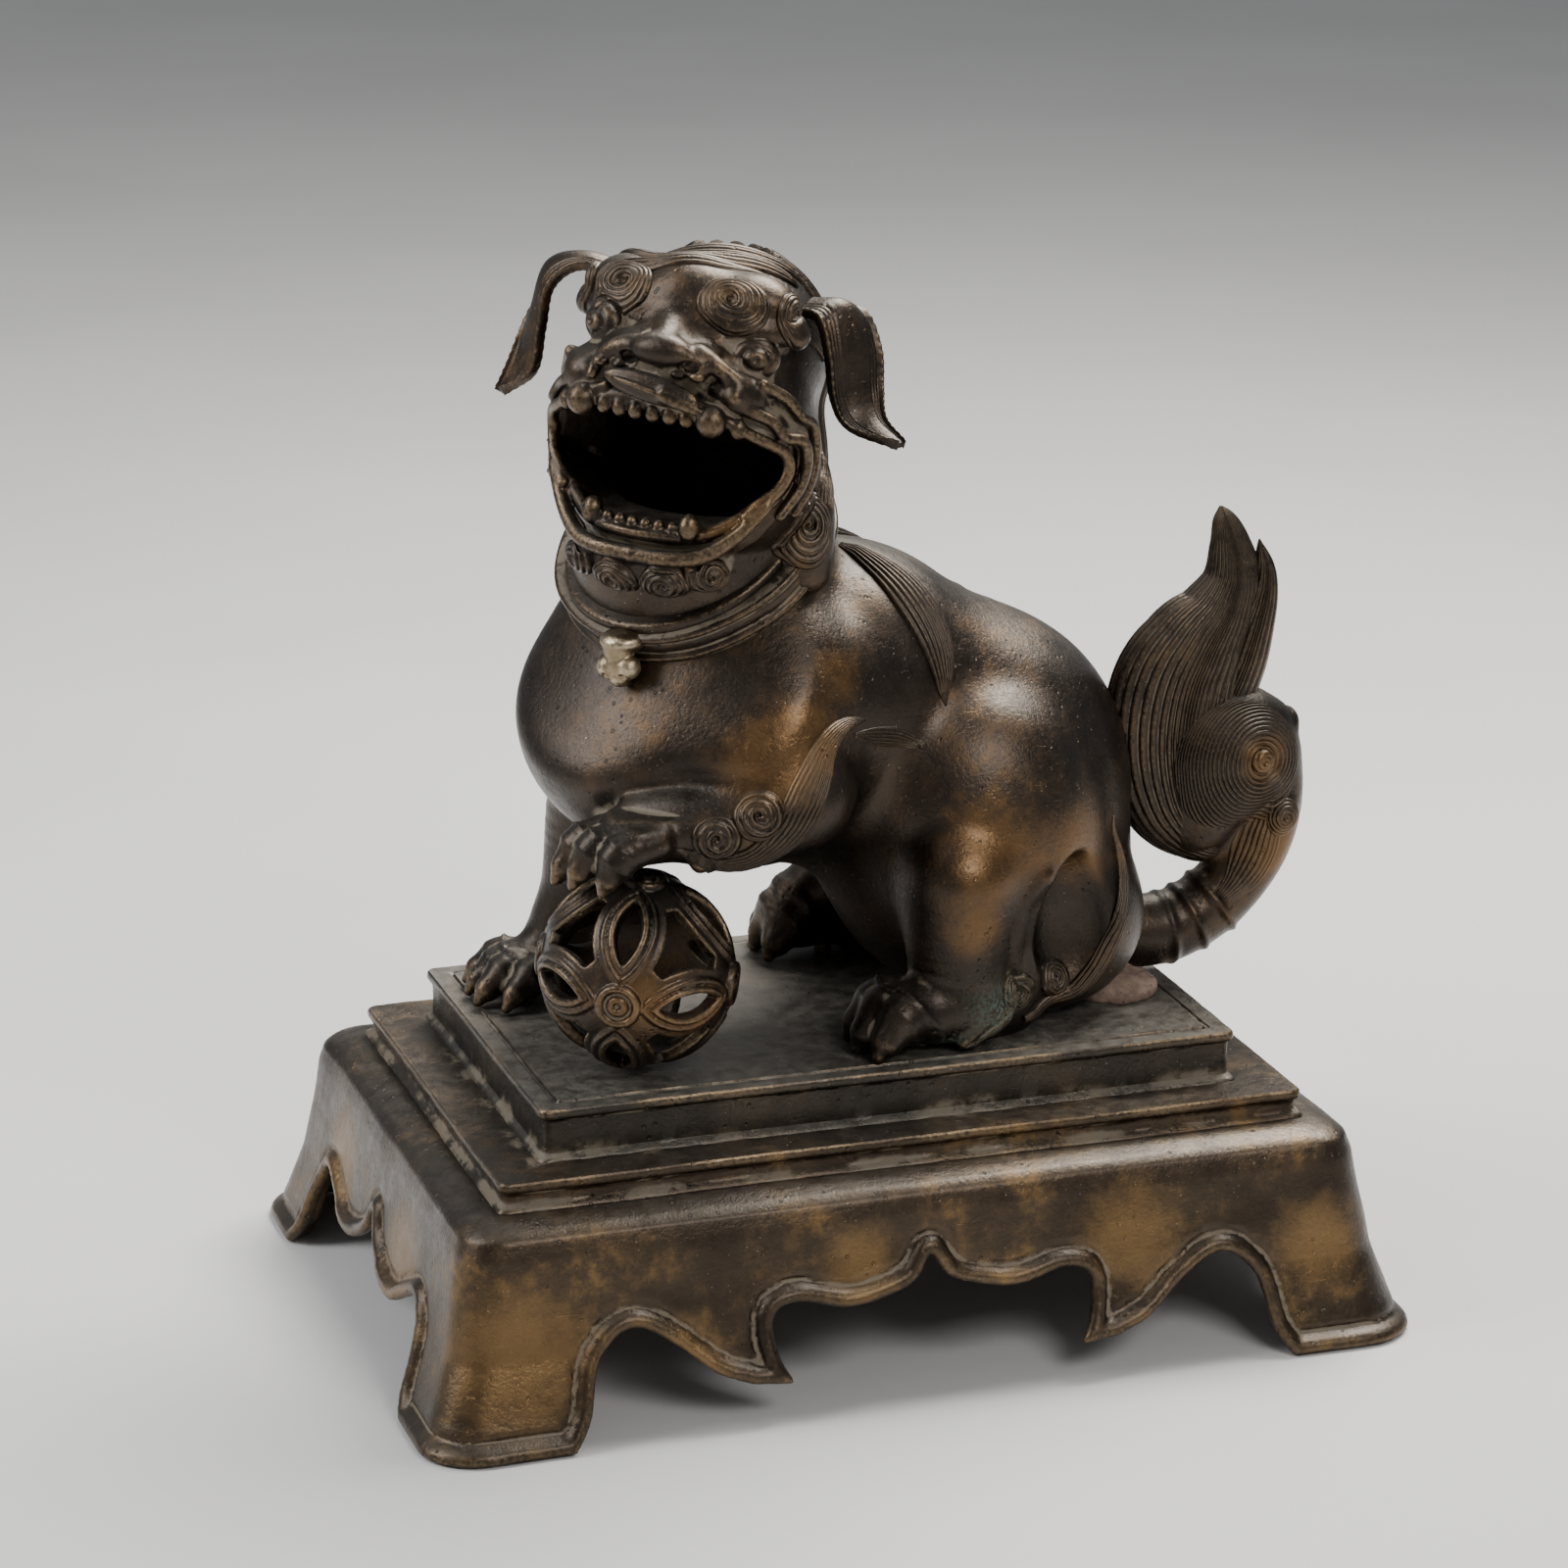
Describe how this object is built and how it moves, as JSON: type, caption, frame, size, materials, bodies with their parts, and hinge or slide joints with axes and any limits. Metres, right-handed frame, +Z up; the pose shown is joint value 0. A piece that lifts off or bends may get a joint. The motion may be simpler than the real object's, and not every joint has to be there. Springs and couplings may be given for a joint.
{
  "type": "foo dog statue",
  "caption": "Seated bronze guardian lion with an open mouth, raised forepaw on a pierced ball, curled tail, on a stepped plinth with a scalloped flared apron.",
  "frame": {"origin": "on the ground under the middle of the plinth", "axes": "+Z up; +X from the lion's chest to its tail, along the plinth's long side; -Y is the lion's left side, which the raised paw, the ball and the turned head are on"},
  "size_m": [0.2844, 0.2042, 0.2995],
  "materials": {
    "dark_bronze": "cast bronze, dark brown to near-black patina, semi-gloss with casting pits and dust in the recesses",
    "warm_bronze": "cast bronze, brown patina rubbed through to warm orange-brown on the high places",
    "worn_edge": "bronze rubbed bright and brassy",
    "dry_clay": "dry pinkish-brown clay, matte"
  },
  "bodies": {
    "root": {"plinth_apron": "dark_bronze", "plinth_lower_step": "dark_bronze", "plinth_upper_step": "dark_bronze", "lion_body": "dark_bronze", "lion_head": "dark_bronze", "ear_left": "dark_bronze", "ear_right": "dark_bronze", "neck_collar": "warm_bronze", "collar_bell": "worn_edge", "foreleg_left": "warm_bronze", "foreleg_right": "dark_bronze", "hind_leg_left": "dark_bronze", "hind_leg_right": "dark_bronze", "tail_stalk": "dark_bronze", "tail_plume": "dark_bronze", "tail_curl": "warm_bronze", "brocade_ball": "dark_bronze", "clay_patch": "dry_clay", "hind_left_foot_pin": "worn_edge", "hind_right_foot_pin": "worn_edge", "fore_right_foot_pin": "worn_edge"}
  },
  "joints": []
}
